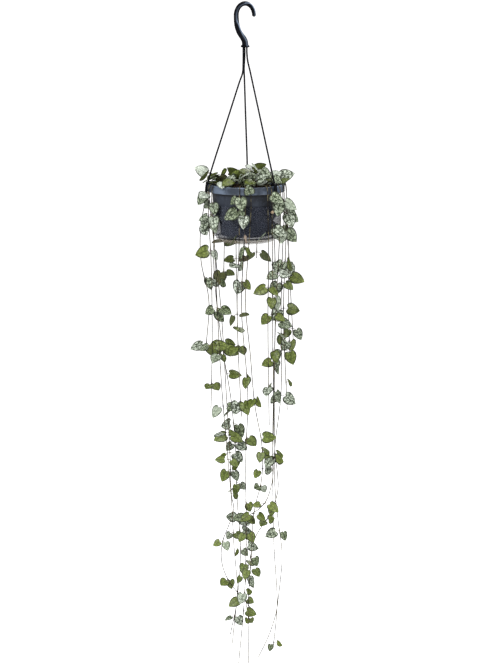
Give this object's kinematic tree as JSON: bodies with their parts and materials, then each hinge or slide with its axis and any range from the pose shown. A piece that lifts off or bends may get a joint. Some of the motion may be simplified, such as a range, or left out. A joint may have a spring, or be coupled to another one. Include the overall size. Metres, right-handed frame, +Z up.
{
  "type": "potted string of hearts",
  "caption": "String of hearts in a small dark plastic hanging pot with a hook, thin strands and a smoky drip bowl.",
  "frame": {"origin": "inside of the hook's crown, on the middle plane of the hook, where a rail or ceiling hook bears", "axes": "+Z up along the pot's axis; the front, as the picture shows it, is towards -Y; +X is to the right seen from the front, the side that the hook's mouth opens to"},
  "size_m": [0.1828, 0.1725, 1.0686],
  "materials": {
    "dark_plastic": "satin, blue-black, with a paler worn sheen on the rim and the hook's edges",
    "strand_plastic": "satin, near black",
    "smoky_plastic": "clear smoky brown-grey, glossy, slightly dusty",
    "soil": "dark crumbly peat",
    "foliage": "thick waxy leaves, silver marbling on green, olive and purplish undersides, purplish brown stems"
  },
  "bodies": {
    "root": {"hook": "dark_plastic", "strand_left": "strand_plastic", "strand_right": "strand_plastic", "strand_rear": "strand_plastic", "pot": "dark_plastic", "drip_bowl": "smoky_plastic", "soil": "soil", "sprig_left": "foliage", "sprig_left_front": "foliage", "sprig_front_left": "foliage", "sprig_front": "foliage", "sprig_front_right": "foliage", "sprig_right_tall": "foliage", "sprig_right_front": "foliage", "sprig_right": "foliage", "sprig_right_low": "foliage", "sprig_back_right": "foliage", "sprig_back": "foliage", "sprig_back_mid": "foliage", "sprig_back_left": "foliage", "sprig_left_back": "foliage", "sprig_centre": "foliage", "trailer_left_outer": "foliage", "trailer_left_front": "foliage", "trailer_left_bowed": "foliage", "trailer_left_rear": "foliage", "trailer_left_back": "foliage", "trailer_front_short": "foliage", "trailer_front_long": "foliage", "trailer_front_drift": "foliage", "trailer_right_front": "foliage", "trailer_right_arched": "foliage", "trailer_right_sweeping": "foliage", "trailer_right_long": "foliage", "trailer_right_outer": "foliage", "trailer_right_side": "foliage", "trailer_right_far": "foliage", "trailer_right_back": "foliage", "trailer_back_right": "foliage", "trailer_back_left": "foliage", "trailer_back_outer": "foliage"}
  },
  "joints": []
}
